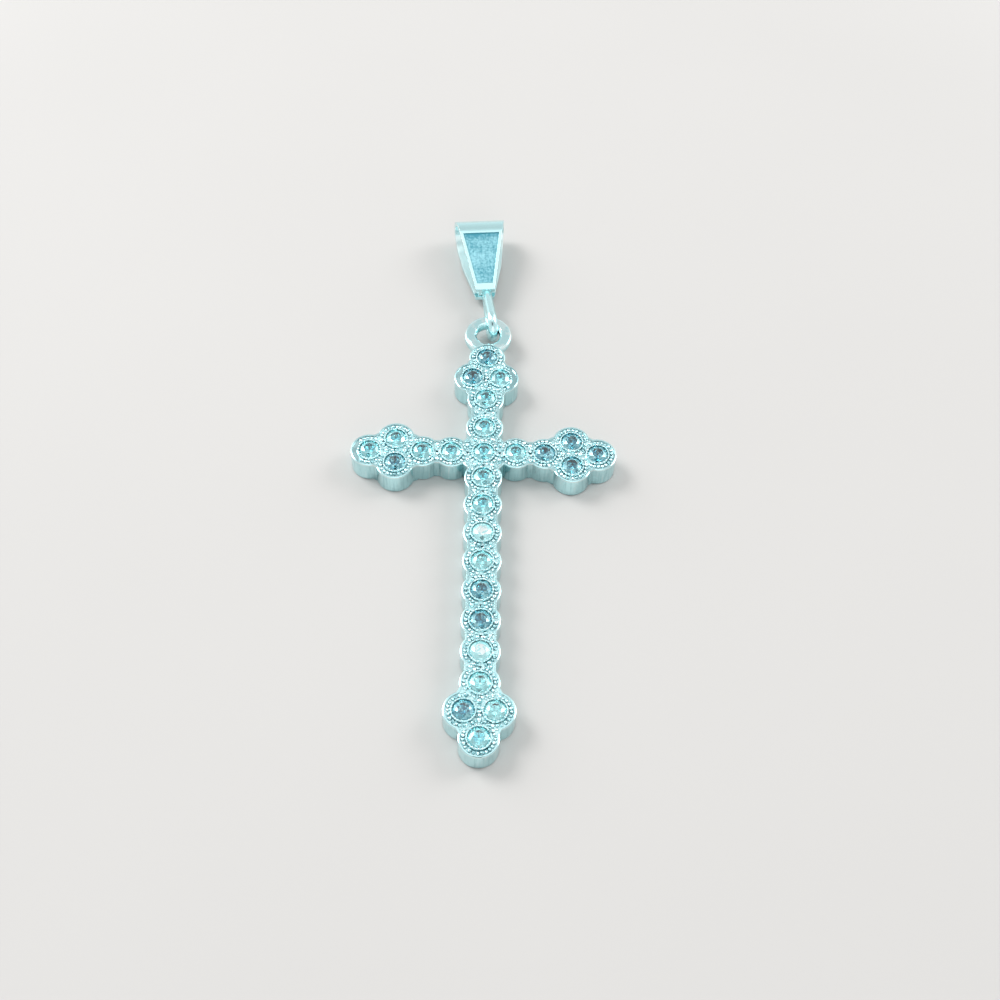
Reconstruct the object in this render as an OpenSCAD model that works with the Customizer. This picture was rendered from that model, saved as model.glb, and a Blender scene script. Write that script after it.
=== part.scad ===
// A trefoil cross pendant in white metal, set with round stones, on a folded bail.
// It lies on its back. +Z comes out of its front, +Y runs up the shaft to the bail, +X to the right arm.
// The origin is under the middle of the whole pendant, on the plane of its back.

/* [Cross body] */
// Thickness of the cross from its back to the edge of its front
body_t = 2.5; // [2:0.1:3.5]
// Middle of the crossing to the middle of the first cup of an arm
arm_first = 3.15; // [2.8:0.05:4]
// Spacing of the plain cups of an arm
arm_pitch = 2.85; // [2.6:0.05:3.6]
// Number of plain cups on an arm
arm_cups = 2; // [1:1:3]
// Middle of the crossing to the middle of the first cup above it
upper_first = 3; // [2.8:0.05:4]
// Spacing of the plain cups above the crossing
upper_pitch = 3.5; // [2.6:0.05:4]
// Number of plain cups above the crossing
upper_cups = 2; // [1:1:3]
// Lean of the upper limb to the right
upper_lean = 1; // [0:0.1:2]
// Middle of the crossing to the middle of the first cup below it
lower_first = 2.9; // [2.8:0.05:4]
// Spacing of the plain cups below the crossing
lower_pitch = 3.1; // [2.6:0.05:3.6]
// Number of plain cups below the crossing
lower_cups = 8; // [6:1:9]
// Last plain cup to the line of a trefoil's two side cups
pair_step = 2.64; // [2.4:0.02:3]
// Line of the two side cups to the trefoil's end cup
tip_step = 2.54; // [2.4:0.02:3]
// Each side cup's distance from the limb's middle line
pair_offset = 1.4; // [1.26:0.01:1.6]

/* [Outline] */
// Radius of the lobe round a plain cup of an arm
arm_lobe_r = 1.77; // [1.6:0.01:1.9]
// Radius of the lobe round a plain cup of the shaft
shaft_lobe_r = 1.84; // [1.6:0.01:2]
// Radius of the lobe round a side cup
pair_lobe_r = 1.86; // [1.7:0.01:2.1]
// Radius of the lobe round an end cup
tip_lobe_r = 1.85; // [1.7:0.01:2]
// Radius of the disc at the crossing
crossing_r = 2.4; // [2:0.05:2.8]
// Reach of the webs in a trefoil's notches, out from the line between two neighbouring cups
web_reach = 1.36; // [1.2:0.02:1.6]
// Width of the bar that joins an arm's lobes
arm_bar_w = 2.6; // [2.2:0.05:3]
// Width of the bar that joins the shaft's lobes
shaft_bar_w = 2.8; // [2.2:0.05:3.2]
// Width of the fine rim left standing round the front
rim_w = 0.2; // [0.14:0.02:0.3]
// Rounding of the rim's outer edge
rim_round = 0.1; // [0.06:0.01:0.12]
// Depth of the sunk ground inside that rim
ground_drop = 0.12; // [0.06:0.02:0.2]
// Chamfer round the back
back_chamfer = 0.08; // [0.04:0.02:0.12]

/* [Stones and cups] */
// Diameter of each round stone
stone_d = 2; // [1.8:0.05:2.1]
// Width across the table of a stone
table_d = 1.14; // [1:0.02:1.2]
// Height of the crown above the girdle
crown_h = 0.3; // [0.2:0.02:0.36]
// Thickness of the girdle
girdle_t = 0.06; // [0.04:0.01:0.1]
// Depth of the pavilion below the girdle
pavilion_h = 0.86; // [0.8:0.02:0.95]
// Gap left between a stone and its seat
seat_gap = 0.03; // [0.02:0.01:0.05]
// Width of the raised collar round a stone
collar_w = 0.2; // [0.14:0.01:0.22]
// How much narrower a collar is at its lip
collar_draft = 0.07; // [0.02:0.01:0.1]
// Height of a collar's lip above the rim of the front
collar_rise = 0.12; // [0.06:0.02:0.2]
// Diameter of the open hole behind each stone
back_hole_d = 1; // [0.8:0.05:1.2]
// Size of the three-sided pit between neighbouring cups
pit_r = 0.2; // [0.14:0.01:0.24]
// Depth of that pit below the ground
pit_depth = 0.3; // [0.2:0.05:0.5]

/* [Loop] */
// Diameter of the hole in the cross's loop
loop_hole_d = 2.4; // [2.4:0.05:3]
// Width of the loop's band, seen from the front
loop_band = 1.25; // [0.9:0.05:1.3]
// Thickness of the loop's band from back to front
loop_t = 1; // [0.8:0.05:1.1]
// Rounding of the band's corners
loop_round = 0.34; // [0.2:0.02:0.4]
// How far the loop's outer edge runs into the top lobe
loop_bite = 0.95; // [0.5:0.05:1.1]

/* [Link] */
// Thickness of the link's wire
link_wire = 1.05; // [0.8:0.05:1.15]
// Length of the link over its wire
link_l = 6.75; // [5.6:0.05:7.5]
// Height of the link over its wire, at the cross's loop
link_h = 3.45; // [3.35:0.05:3.7]
// Direction in which the link's wire lies against the loop's hole, from +X
link_lean = 38; // [30:1:90]
// Gap between the link's wire and the loop's hole
link_gap = 0.05; // [0.04:0.01:0.1]
// Turn of the link to the left of the shaft's line
link_turn = 7.5; // [0:0.5:15]

/* [Bail] */
// Length of the bail from its tips to the top of its bend
bail_l = 9.45; // [7.5:0.05:11]
// Width of the bail at the top of its bend
bail_top_w = 5.45; // [4.5:0.05:6.5]
// Width of the bail at its tips
bail_tip_w = 2; // [1.8:0.05:2.4]
// Outer diameter of the bail's bend
bend_d = 4.14; // [3.6:0.02:5]
// Thickness of the bail's strip
strip_t = 0.45; // [0.35:0.01:0.55]
// How deep the link's wire is sunk into each tip by the soldering
solder_bite = 0.1; // [0.05:0.01:0.15]
// How far the middle of the link's wire lies inside the tips
link_inset = 0.25; // [0.2:0.01:0.6]
// How far the link's wire lies to the right of the bail's middle
link_aside = 0.15; // [0:0.01:0.2]
// How far each side of the back leg swells out halfway along it
back_swell = 0.25; // [0:0.05:0.4]
// Turn of the bail to the left of the shaft's line
bail_turn = 4.8; // [0:0.2:8]
// Width of the polished rims beside the front panel
panel_rim = 0.3; // [0.2:0.02:0.45]
// How far below the bend the front panel starts
panel_head = 0.25; // [0:0.05:0.6]
// Width of the polished band below the front panel
panel_foot = 0.75; // [0.5:0.05:1.2]
// Depth of the front panel
panel_depth = 0.14; // [0.08:0.02:0.2]

/* [Hidden] */
$fn = 64;
METAL = [0.78, 0.86, 0.87];
STONE = [0.86, 0.95, 0.97];
// How far a cutting shape runs past what it cuts
past = 1;

// The four limbs. Columns: name, direction in degrees, first cup, spacing, plain cups, lobe radius, bar width
LIMBS = [
    ["upper", 90 - upper_lean, upper_first, upper_pitch, upper_cups, shaft_lobe_r, shaft_bar_w],
    ["lower", 270, lower_first, lower_pitch, lower_cups, shaft_lobe_r, shaft_bar_w],
    ["left", 180, arm_first, arm_pitch, arm_cups, arm_lobe_r, arm_bar_w],
    ["right", 0, arm_first, arm_pitch, arm_cups, arm_lobe_r, arm_bar_w],
];
UPPER = LIMBS[0];
LOWER = LIMBS[1];

// Places along a limb, from the middle of the crossing
function plain_at(limb, i) = limb[2] + limb[3] * i;
function pair_at(limb) = plain_at(limb, limb[4] - 1) + pair_step;
function tip_at(limb) = pair_at(limb) + tip_step;
// A limb's bar ends inside its trefoil
function bar_end(limb) = (pair_at(limb) + tip_at(limb)) / 2;
// A point that lies so far along a limb and so far to the left of its line
function on_limb(limb, along, aside) =
    let (c = cos(limb[1]), s = sin(limb[1])) [c * along - s * aside, s * along + c * aside];

// Each cup. Columns: its stone's name, its place, the radius of its lobe
function limb_cups(limb) = concat(
    [for (i = [0 : limb[4] - 1])
        [str("stone_", limb[0], "_", i + 1), on_limb(limb, plain_at(limb, i), 0), limb[5]]],
    [
        [str("stone_", limb[0], "_pair_a"), on_limb(limb, pair_at(limb), pair_offset), pair_lobe_r],
        [str("stone_", limb[0], "_pair_b"), on_limb(limb, pair_at(limb), -pair_offset), pair_lobe_r],
        [str("stone_", limb[0], "_tip"), on_limb(limb, tip_at(limb), 0), tip_lobe_r],
    ]
);
CUPS = concat([["stone_crossing", [0, 0], crossing_r]], [for (limb = LIMBS) each limb_cups(limb)]);

// The pits lie on a limb's line, halfway between neighbouring plain cups, the crossing's cup among them
function pit_places(limb) = [for (i = [0 : limb[4] - 1])
    on_limb(limb, (plain_at(limb, i) + (i == 0 ? 0 : plain_at(limb, i - 1))) / 2, 0)];
PITS = [for (limb = LIMBS) each pit_places(limb)];
// It turns one corner of each pit down the shaft
pit_turn = 30;

// Heights in the cross
ground_z = body_t - ground_drop;
collar_top = body_t + collar_rise;
girdle_z = body_t;
stone_r = stone_d / 2;
bore_r = stone_r + seat_gap;
collar_r = bore_r + collar_w;
back_hole_r = back_hole_d / 2;
// The seat is a cone that follows the pavilion down to the hole behind the stone
seat_depth = pavilion_h * (1 - (back_hole_r - seat_gap) / stone_r);

// The loop lies at the height of the link's middle, and the link stands on the plane of the back
link_z = link_h / 2;
loop_r = loop_hole_d / 2 + loop_band;
loop_at = on_limb(UPPER, tip_at(UPPER) + tip_lobe_r - loop_bite + loop_r, 0);

// The link: middle of its wire at the loop, its direction, and middle of its wire in the bail's tips
link_reach = (loop_hole_d - link_wire) / 2 - link_gap;
link_near = loop_at + link_reach * [cos(link_lean), sin(link_lean)];
link_along = [-sin(link_turn), cos(link_turn)];
link_far = link_near + (link_l - link_wire) * link_along;
// The link is a drop: a round bend at the loop, and two straight wires that run together in the bail
link_bend_r = (link_h - link_wire) / 2;
drop_l = link_l - link_wire - link_bend_r;
// How steeply each wire runs in, how far it starts inside the bend, and where it ends, buried in the solder
run_in = asin(link_bend_r / drop_l);
run_lap = 0.1;
run_start = -run_lap;
run_end = drop_l * cos(run_in) + link_wire / 4;
// The straight wires are drawn a hair thinner than the bend
run_shave = 0.02;
run_d = link_wire - run_shave;

// The bail, seen from its side: y runs from the tips to the bend and z to the front leg
bend_r = bend_d / 2;
bend_y = bail_l - bend_r;
tip_half = link_wire / 2 + strip_t - solder_bite;
bail_along = [-sin(bail_turn), cos(bail_turn)];
bail_at = link_far - link_inset * bail_along - link_aside * [cos(bail_turn), sin(bail_turn)];
// The tips are as high as the link's middle, and the bend rests on the plane of the back
bail_pitch = asin((bend_r - link_z) / bend_y);
// Direction of the front leg's normal, where the leg leaves the bend
leg_normal = acos(-bend_r / norm([bend_y, tip_half])) - atan2(tip_half, bend_y);
leg_slope = leg_normal - 90;
leg_l = sqrt(pow(bend_y, 2) + pow(tip_half, 2) - pow(bend_r, 2));
function strip_w(y) = bail_tip_w + (bail_top_w - bail_tip_w) * y / bail_l;

// The whole pendant is moved so that the middle of its length is at the origin
top_y = bail_at[1] + bail_along[1] * (bend_y * cos(bail_pitch) + bend_r) + sin(bail_turn) * bail_top_w / 2;
foot_y = -(tip_at(LOWER) + tip_lobe_r);
shift_y = -(top_y + foot_y) / 2;

// Corners of the web between two neighbouring cups, which lies on the left of the way from one to the other
function web_corners(from, to, reach) =
    let (way = (to - from) / norm(to - from), out = reach * [-way[1], way[0]])
    [from, to, to + out, from + out];

// The bars and webs seen from the front, drawn in from their edges all round
module bars(inset) {
    for (limb = LIMBS) rotate(limb[1]) {
        translate([0, inset - limb[6] / 2]) square([bar_end(limb), limb[6] - 2 * inset]);
        plain = [plain_at(limb, limb[4] - 1), 0];
        side = [pair_at(limb), pair_offset];
        tip = [tip_at(limb), 0];
        for (flip = [0, 1]) mirror([0, flip]) {
            polygon(web_corners(plain, side, web_reach - inset));
            polygon(web_corners(side, tip, web_reach - inset));
        }
    }
}

module outline(inset) {
    for (cup = CUPS) {
        translate(cup[1]) circle(r = cup[2] - inset);
    }
    bars(inset);
}

// A lobe's section from its middle to its edge, with a chamfer at the back and the round rim in front
function lobe_section(r) = concat(
    [[0, 0], [r - back_chamfer, 0], [r, back_chamfer]],
    [for (a = [0, 45, 90]) [r - rim_round * (1 - cos(a)), body_t - rim_round * (1 - sin(a))]],
    [[0, body_t]]
);

module body() {
    for (cup = CUPS) {
        translate(cup[1]) rotate_extrude() polygon(lobe_section(cup[2]));
    }
    linear_extrude(body_t) bars(0);
}

// The collars start below the ground, so that they are one with it
module collars() {
    for (cup = CUPS) {
        translate([cup[1][0], cup[1][1], ground_z]) {
            translate([0, 0, -ground_drop]) cylinder(r = collar_r, h = ground_drop);
            cylinder(r1 = collar_r, r2 = collar_r - collar_draft, h = collar_top - ground_z);
        }
    }
}

// What is bored out for one stone: the room above its girdle, its seat and the open hole behind it
module cup_bore() {
    translate([0, 0, girdle_z - girdle_t]) cylinder(r = bore_r, h = crown_h + past);
    translate([0, 0, girdle_z - girdle_t - seat_depth])
        cylinder(r1 = back_hole_r, r2 = bore_r, h = seat_depth);
    translate([0, 0, -past]) cylinder(r = back_hole_r, h = girdle_z - seat_depth + past - girdle_t / 2);
}

// Corners of a rectangle with rounded corners, as the section of a band
corner_step = 30;
function band_corner(x, y, from) =
    [for (a = [from : corner_step : from + 90]) [x, y] + loop_round * [cos(a), sin(a)]];
function band_section() =
    let (x = loop_band / 2 - loop_round, y = loop_t / 2 - loop_round)
    concat(band_corner(x, y, 0), band_corner(-x, y, 90), band_corner(-x, -y, 180), band_corner(x, -y, 270));

module loop_ring() {
    translate([loop_at[0], loop_at[1], link_z]) rotate_extrude()
        translate([(loop_hole_d + loop_band) / 2, 0]) polygon(band_section());
}

module cross() {
    color(METAL) translate([0, shift_y, 0]) union() {
        difference() {
            union() {
                difference() {
                    body();
                    translate([0, 0, ground_z]) linear_extrude(past) outline(rim_w);
                }
                collars();
            }
            for (cup = CUPS) {
                translate(cup[1]) cup_bore();
            }
            for (place = PITS) {
                translate([place[0], place[1], ground_z - pit_depth])
                    rotate(pit_turn) cylinder(r = pit_r, h = pit_depth + past, $fn = 3);
            }
        }
        difference() {
            loop_ring();
            for (cup = CUPS) {
                translate(cup[1]) cup_bore();
            }
        }
    }
}

// Corner points of a round brilliant on its axis, with the girdle's upper edge at height 0
function ring_of(r, z, n, from) =
    [for (i = [0 : n - 1]) let (a = from + 360 * i / n) [r * cos(a), r * sin(a), z]];
half_step = 22.5;
table_r = table_d / 2;
// Where star, kite and upper girdle facets meet, halfway between the table's side and the girdle
star_r = (table_r * cos(half_step) + stone_r) / 2;
star_z = crown_h * (stone_r - star_r * cos(half_step)) / (stone_r - table_r);
// Where the pavilion's long facets and lower girdle facets meet
keel_share = 0.23;
keel_r = keel_share * stone_r;
keel_z = -girdle_t - pavilion_h * (1 - keel_r * cos(half_step) / stone_r);
GEM_POINTS = concat(
    ring_of(table_r, crown_h, 8, 0),
    ring_of(star_r, star_z, 8, half_step),
    ring_of(stone_r, 0, 16, 0),
    ring_of(stone_r, -girdle_t, 16, 0),
    ring_of(keel_r, keel_z, 8, half_step),
    [[0, 0, -girdle_t - pavilion_h]]
);
TABLE = 0;
STAR = 8;
UPPER_GIRDLE = 16;
LOWER_GIRDLE = 32;
KEEL = 48;
CULET = 56;
GEM_FACES = concat(
    [[for (i = [7 : -1 : 0]) TABLE + i]],
    [for (i = [0 : 7]) let (n = (i + 1) % 8) [TABLE + i, TABLE + n, STAR + i]],
    [for (i = [0 : 7]) let (p = (i + 7) % 8) [TABLE + i, STAR + i, UPPER_GIRDLE + 2 * i, STAR + p]],
    [for (i = [0 : 7]) [STAR + i, UPPER_GIRDLE + 2 * i + 1, UPPER_GIRDLE + 2 * i]],
    [for (i = [0 : 7]) [STAR + i, UPPER_GIRDLE + (2 * i + 2) % 16, UPPER_GIRDLE + 2 * i + 1]],
    [for (i = [0 : 15]) let (n = (i + 1) % 16)
        [UPPER_GIRDLE + i, UPPER_GIRDLE + n, LOWER_GIRDLE + n, LOWER_GIRDLE + i]],
    [for (i = [0 : 7]) [KEEL + i, LOWER_GIRDLE + 2 * i, LOWER_GIRDLE + 2 * i + 1]],
    [for (i = [0 : 7]) [KEEL + i, LOWER_GIRDLE + 2 * i + 1, LOWER_GIRDLE + (2 * i + 2) % 16]],
    [for (i = [0 : 7]) let (p = (i + 7) % 8) [CULET, KEEL + p, LOWER_GIRDLE + 2 * i, KEEL + i]]
);

// Each stone is set with its facets turned on from the one before
stone_turn = 17;

module stone(i) {
    place = CUPS[i][1];
    color(STONE) translate([place[0], place[1] + shift_y, girdle_z])
        rotate(stone_turn * i) polyhedron(points = GEM_POINTS, faces = GEM_FACES);
}

// The folded strip from its side. It is drawn in by a strip's thickness for the hollow.
// Its straight legs start a hair inside the bend, so that they cross it and don't just touch it
leg_start = 0.999;
module fold(inset) {
    r = bend_r - inset;
    z = tip_half - inset / sin(leg_normal);
    tangent = leg_start * r * [cos(leg_normal), sin(leg_normal)];
    translate([bend_y, 0]) circle(r = r);
    polygon([[0, -z], [bend_y + tangent[0], -tangent[1]], [bend_y + tangent[0], tangent[1]], [0, z]]);
}

// The sunk panel on the front leg, as a shape that is cut away
module panel() {
    foot = panel_foot;
    head = leg_l - panel_head;
    foot_half = strip_w(foot * cos(leg_slope)) / 2 - panel_rim;
    head_half = strip_w(head * cos(leg_slope)) / 2 - panel_rim;
    translate([0, 0, tip_half]) rotate([leg_slope, 0, 0]) translate([0, 0, -panel_depth])
        linear_extrude(past)
            polygon([[-foot_half, foot], [foot_half, foot], [head_half, head], [-head_half, head]]);
}

// The solder between the two tips, round the link's wire
module solder() {
    fill_w = bail_tip_w - 2 * panel_rim;
    translate([-fill_w / 2, link_inset / 2, -tip_half + strip_t / 2])
        cube([fill_w, link_wire, 2 * tip_half - strip_t]);
}

// A leg seen from the front, with sides that swell out halfway along it
module leg_outline(swell) {
    middle = bail_l / 2;
    right = [[bail_tip_w / 2, 0], [strip_w(middle) / 2 + swell, middle], [bail_top_w / 2, bail_l]];
    polygon(concat(right, [for (k = [2 : -1 : 0]) [-right[k][0], right[k][1]]]));
}

module folded_strip() {
    intersection() {
        rotate([90, 0, 90]) translate([0, 0, -bail_top_w]) linear_extrude(2 * bail_top_w) difference() {
            fold(0);
            fold(strip_t);
        }
        union() {
            linear_extrude(bend_d) leg_outline(0);
            translate([0, 0, -bend_d]) linear_extrude(bend_d) leg_outline(back_swell);
        }
    }
}

// The link on its edge, with the middle of its bend at the loop as its origin, and its length along y
module link() {
    rotate([90, 0, 90]) rotate(90 - run_in) rotate_extrude(angle = 180 + 2 * run_in)
        translate([link_bend_r, 0]) circle(d = link_wire);
    for (side = [-1, 1]) {
        translate([0, link_bend_r * sin(run_in), side * link_bend_r * cos(run_in)])
            rotate([-90 - side * run_in, 0, 0]) translate([0, 0, run_start])
                cylinder(d = run_d, h = run_end - run_start);
    }
}

module bail() {
    near_bend = link_near + link_bend_r * link_along;
    color(METAL) translate([0, shift_y, link_z]) union() {
        translate(bail_at) rotate(bail_turn) rotate([bail_pitch, 0, 0]) {
            difference() {
                folded_strip();
                panel();
            }
            solder();
        }
        translate(near_bend) rotate(link_turn) link();
    }
}

cross();
bail();
for (i = [0 : len(CUPS) - 1]) {
    stone(i);
}
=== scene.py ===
"""Finishes the trefoil cross pendant: grained cups, beads, silver, stones, and the pale floor it lies on."""

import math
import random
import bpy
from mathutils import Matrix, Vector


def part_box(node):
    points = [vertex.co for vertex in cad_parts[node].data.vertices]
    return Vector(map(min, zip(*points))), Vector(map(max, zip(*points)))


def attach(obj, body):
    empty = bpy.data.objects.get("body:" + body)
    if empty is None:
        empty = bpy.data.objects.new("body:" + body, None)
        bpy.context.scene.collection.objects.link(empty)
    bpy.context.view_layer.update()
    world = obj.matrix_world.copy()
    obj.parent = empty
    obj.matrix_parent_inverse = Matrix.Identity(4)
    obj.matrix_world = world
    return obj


bl_info = {
    "name": "Trefoil Cross Pendant",
    "version": (1, 0, 0),
    "blender": (4, 5, 0),
    "location": "View3D > Sidebar > Pendant",
    "description": "Finishes a stone-set trefoil cross pendant and lays it on a pale floor",
    "category": "Object",
}

import bmesh
import bpy
from bpy.props import FloatProperty, FloatVectorProperty, IntProperty, PointerProperty
from mathutils import Vector
from mathutils.bvhtree import BVHTree

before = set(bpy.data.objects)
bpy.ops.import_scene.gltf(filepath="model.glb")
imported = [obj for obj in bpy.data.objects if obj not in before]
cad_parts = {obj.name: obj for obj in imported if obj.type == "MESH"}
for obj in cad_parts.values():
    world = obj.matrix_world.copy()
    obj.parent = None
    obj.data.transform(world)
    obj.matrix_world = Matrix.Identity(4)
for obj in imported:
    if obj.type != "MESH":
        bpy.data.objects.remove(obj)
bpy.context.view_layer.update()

MM = 0.001
SEED = 7
LIMBS = ("upper", "lower", "left", "right")
PLAIN_CUPS = {limb: sorted(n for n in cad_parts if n[:-1] == f"stone_{limb}_") for limb in LIMBS}
STONES = sorted(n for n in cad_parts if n.startswith("stone_"))
# Tints of the stones, darker and lighter copies of one kind: partly dirt behind each stone, partly painted
# light and shade from how each is tilted to the light. The bright ones' milky white is a painted highlight.
STONE_LOOKS = {
    "deep": (
        "upper_pair_a", "upper_tip", "lower_5", "lower_6", "lower_pair_b", "left_pair_a",
        "right_2", "right_pair_a", "right_pair_b", "right_tip",
    ),
    "middle": (),
    "pale": ("lower_4", "lower_8", "lower_pair_a"),
    "bright": ("lower_3", "lower_7"),
}

# Lobes with a smooth outer side, the way out, and the millimetres from the cup's middle to where it begins
# and ends.
BARE_SIDES = {
    "stone_upper_pair_a": Vector((-1, 0)),
    "stone_upper_pair_b": Vector((1, 0)),
    "stone_left_tip": Vector((-1, 0)),
}
BARE_FROM = 0.9
BARE_REACH = 1.95


def cup(node):
    """The middle of a stone's cup, seen from the front."""
    low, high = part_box(node)
    return ((low + high) / 2).xy


def lies_bare(spot):
    """True on the outer side of a lobe that has no grains there."""
    for stone, outward in BARE_SIDES.items():
        way = spot - cup(stone)
        if way.dot(outward) > BARE_FROM * MM and way.length < BARE_REACH * MM:
            return True
    return False


class Shade:
    """One output of a shader node. Used in a Python expression, it adds the Math nodes that work it out."""

    def __init__(self, recipe, socket):
        self.recipe = recipe
        self.socket = socket

    def worked(self, operation, *values):
        return self.recipe.node("ShaderNodeMath", {"operation": operation}, dict(enumerate(values)))

    def __add__(self, other):
        return self.worked("ADD", self, other)

    def __radd__(self, other):
        return self.worked("ADD", other, self)

    def __sub__(self, other):
        return self.worked("SUBTRACT", self, other)

    def __rsub__(self, other):
        return self.worked("SUBTRACT", other, self)

    def __mul__(self, other):
        return self.worked("MULTIPLY", self, other)

    def __rmul__(self, other):
        return self.worked("MULTIPLY", other, self)

    def __abs__(self):
        return self.worked("ABSOLUTE", self)


class Recipe:
    """The nodes of one finish, with short ways to write the ones that are used often."""

    def __init__(self, tree):
        self.tree = tree
        tree.nodes.clear()

    def node(self, kind, settings=None, inputs=None, output=0):
        """Adds a node: its settings first, then the values or links of its sockets. Gives one output."""
        made = self.tree.nodes.new(kind)
        for name, value in (settings or {}).items():
            setattr(made, name, value)
        for socket, value in (inputs or {}).items():
            if isinstance(value, Shade):
                self.tree.links.new(value.socket, made.inputs[socket])
            else:
                made.inputs[socket].default_value = value
        return Shade(self, made.outputs[output]) if len(made.outputs) else None

    def vector(self, operation, inputs, output=0):
        return self.node("ShaderNodeVectorMath", {"operation": operation}, inputs, output)

    def place_mm(self):
        """The place on the part, in millimetres."""
        place = self.node("ShaderNodeTexCoord", output="Object")
        return self.vector("SCALE", {0: place, "Scale": 1 / MM})

    def normal(self):
        """The way that the plain surface faces, before wear and relief."""
        return self.node("ShaderNodeNewGeometry", output="Normal")

    def upward(self, vector):
        """The upright part of a vector: how high a place lies, or how far a face looks up."""
        return self.node("ShaderNodeSeparateXYZ", {}, {0: vector}, "Z")

    def stretched(self, vector, scale):
        return self.vector("MULTIPLY", {0: vector, 1: scale})

    def from_start(self, place, start):
        """The way from a start to a place."""
        return self.vector("SUBTRACT", {0: place, 1: start})

    def length(self, vector):
        return self.vector("LENGTH", {0: vector}, "Value")

    def along(self, vector, direction):
        return self.vector("DOT_PRODUCT", {0: vector, 1: direction}, "Value")

    def noise(self, vector, scale, detail=2.0, roughness=0.5):
        values = {"Vector": vector, "Scale": scale, "Detail": detail, "Roughness": roughness}
        return self.node("ShaderNodeTexNoise", {}, values)

    def rise(self, value, low, high):
        """0 below low and 1 above high, smooth between them. It falls where low is above high."""
        settings = {"interpolation_type": "SMOOTHSTEP"}
        if low < high:
            return self.node("ShaderNodeMapRange", settings, {"Value": value, 1: low, 2: high})
        return 1 - self.rise(value, high, low)

    def blend(self, factor, first, second):
        """A colour between two colours."""
        settings = {"data_type": "RGBA"}
        colours = {6: shown(first), 7: shown(second)}
        return self.node("ShaderNodeMix", settings, {0: factor, **colours}, 2)

    def between(self, factor, low, high):
        return factor * (high - low) + low

    def hollows(self, reach):
        """1 on open metal, less in the hollows and seams that are no wider than reach. The finishes paint it
        into their colour as shade.
        """
        return self.node("ShaderNodeAmbientOcclusion", {"samples": 6}, {"Distance": reach}, "AO")

    def worn_normal(self, edge, height, strength, depth):
        """Edges rounded by wear, with the fine relief of the metal on them."""
        rounded = self.node("ShaderNodeBevel", {"samples": 4}, {"Radius": edge})
        relief = {"Strength": strength, "Distance": depth, "Height": height, "Normal": rounded}
        return self.node("ShaderNodeBump", {}, relief)


def shown(colour):
    return colour if isinstance(colour, Shade) else (*colour[:3], 1)


def new_finish(name, steady, varying):
    """A material: steady values go on the surface's own sockets, the others come from varying."""
    material = bpy.data.materials.new(name)
    material.use_nodes = True
    recipe = Recipe(material.node_tree)
    surface = {**steady, **varying(recipe)}
    shader = recipe.node("ShaderNodeBsdfPrincipled", {}, surface)
    recipe.node("ShaderNodeOutputMaterial", {}, {"Surface": shader})
    return material


def finish_piece(piece, material):
    piece.data.materials.clear()
    piece.data.materials.append(material)


class SilverSettings(bpy.types.PropertyGroup):
    silver: FloatVectorProperty(
        name="Silver", description="Colour of clean silver", subtype="COLOR", size=3, min=0, max=1,
        default=(0.6, 0.91, 0.94),
    )
    # Painted shade: the colour that the hollows, dark specks, drawn lines and bare sides are blended
    # towards.
    shade: FloatVectorProperty(
        name="Shade", description="Colour of the silver deep in hollows", subtype="COLOR", size=3,
        min=0, max=1, default=(0.1, 0.27, 0.31),
    )
    # Painted highlight: the colour of the bright flecks and grains, the gleaming lines, the cups, the loop
    # and the inside of the bail's back leg.
    bright: FloatVectorProperty(
        name="Bright", description="Colour of the brightest specks", subtype="COLOR", size=3,
        min=0, max=1, default=(0.9, 1, 1),
    )
    polish: FloatProperty(
        name="Polish", description="Roughness of the polished rims and walls", min=0, max=1, default=0.13,
    )
    cast: FloatProperty(
        name="Cast ground", description="Roughness of the ground between the cups", min=0, max=1,
        default=0.32,
    )
    edge: FloatProperty(
        name="Worn edge", description="Radius that wear has given to the edges", unit="LENGTH",
        min=0, default=0.035 * MM, precision=6,
    )
    relief: FloatProperty(
        name="Cast relief", description="Depth of the fine relief left by casting", unit="LENGTH",
        min=0, default=0.035 * MM, precision=6,
    )
    # Painted shade: hollows and seams no wider than this are painted towards the shade colour.
    hollow: FloatProperty(
        name="Hollow", description="Widest hollow that has gone dark", unit="LENGTH",
        min=0, default=0.3 * MM, precision=6,
    )


class GrainSettings(bpy.types.PropertyGroup):
    level: FloatProperty(
        name="Ground", description="Height of the ground between the cups", unit="LENGTH",
        min=0, default=2.38 * MM, precision=6,
    )
    ring: FloatProperty(
        name="Ring", description="Radius of the ring of grains round a cup", unit="LENGTH",
        min=0, default=1.41 * MM, precision=6,
    )
    size: FloatProperty(
        name="Grain", description="Radius of one grain", unit="LENGTH",
        min=0, default=0.17 * MM, precision=6,
    )
    count: IntProperty(
        name="Grains", description="Number of grains in a whole ring", min=3, default=23,
    )
    stand: FloatProperty(
        name="Stand", description="Share of a grain's radius by which its middle stands above the ground",
        min=-1, max=1, default=0.15,
    )
    uneven: FloatProperty(
        name="Uneven", description="How much the grains differ in size", min=0, max=0.5, default=0.2,
    )
    fine: FloatProperty(
        name="Fine grain", description="Radius of the finest grains, strewn between the rings",
        unit="LENGTH", min=0, default=0.1 * MM, precision=6,
    )
    strewn: IntProperty(
        name="Strewn", description="Number of places tried for the finest grains round a cup", min=0,
        default=160,
    )
    hold: FloatProperty(
        name="Holding grain", description="Radius of the grains on a cup's lip that hold its stone",
        unit="LENGTH", min=0, default=0.1 * MM, precision=6,
    )
    lip: FloatProperty(
        name="Lip", description="Radius of the ring of holding grains", unit="LENGTH",
        min=0, default=1.08 * MM, precision=6,
    )
    lip_level: FloatProperty(
        name="Lip height", description="Height of the middle of a holding grain", unit="LENGTH",
        min=0, default=2.61 * MM, precision=6,
    )
    holds: IntProperty(
        name="Holding grains", description="Number of holding grains round a stone", min=3, default=22,
    )


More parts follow.
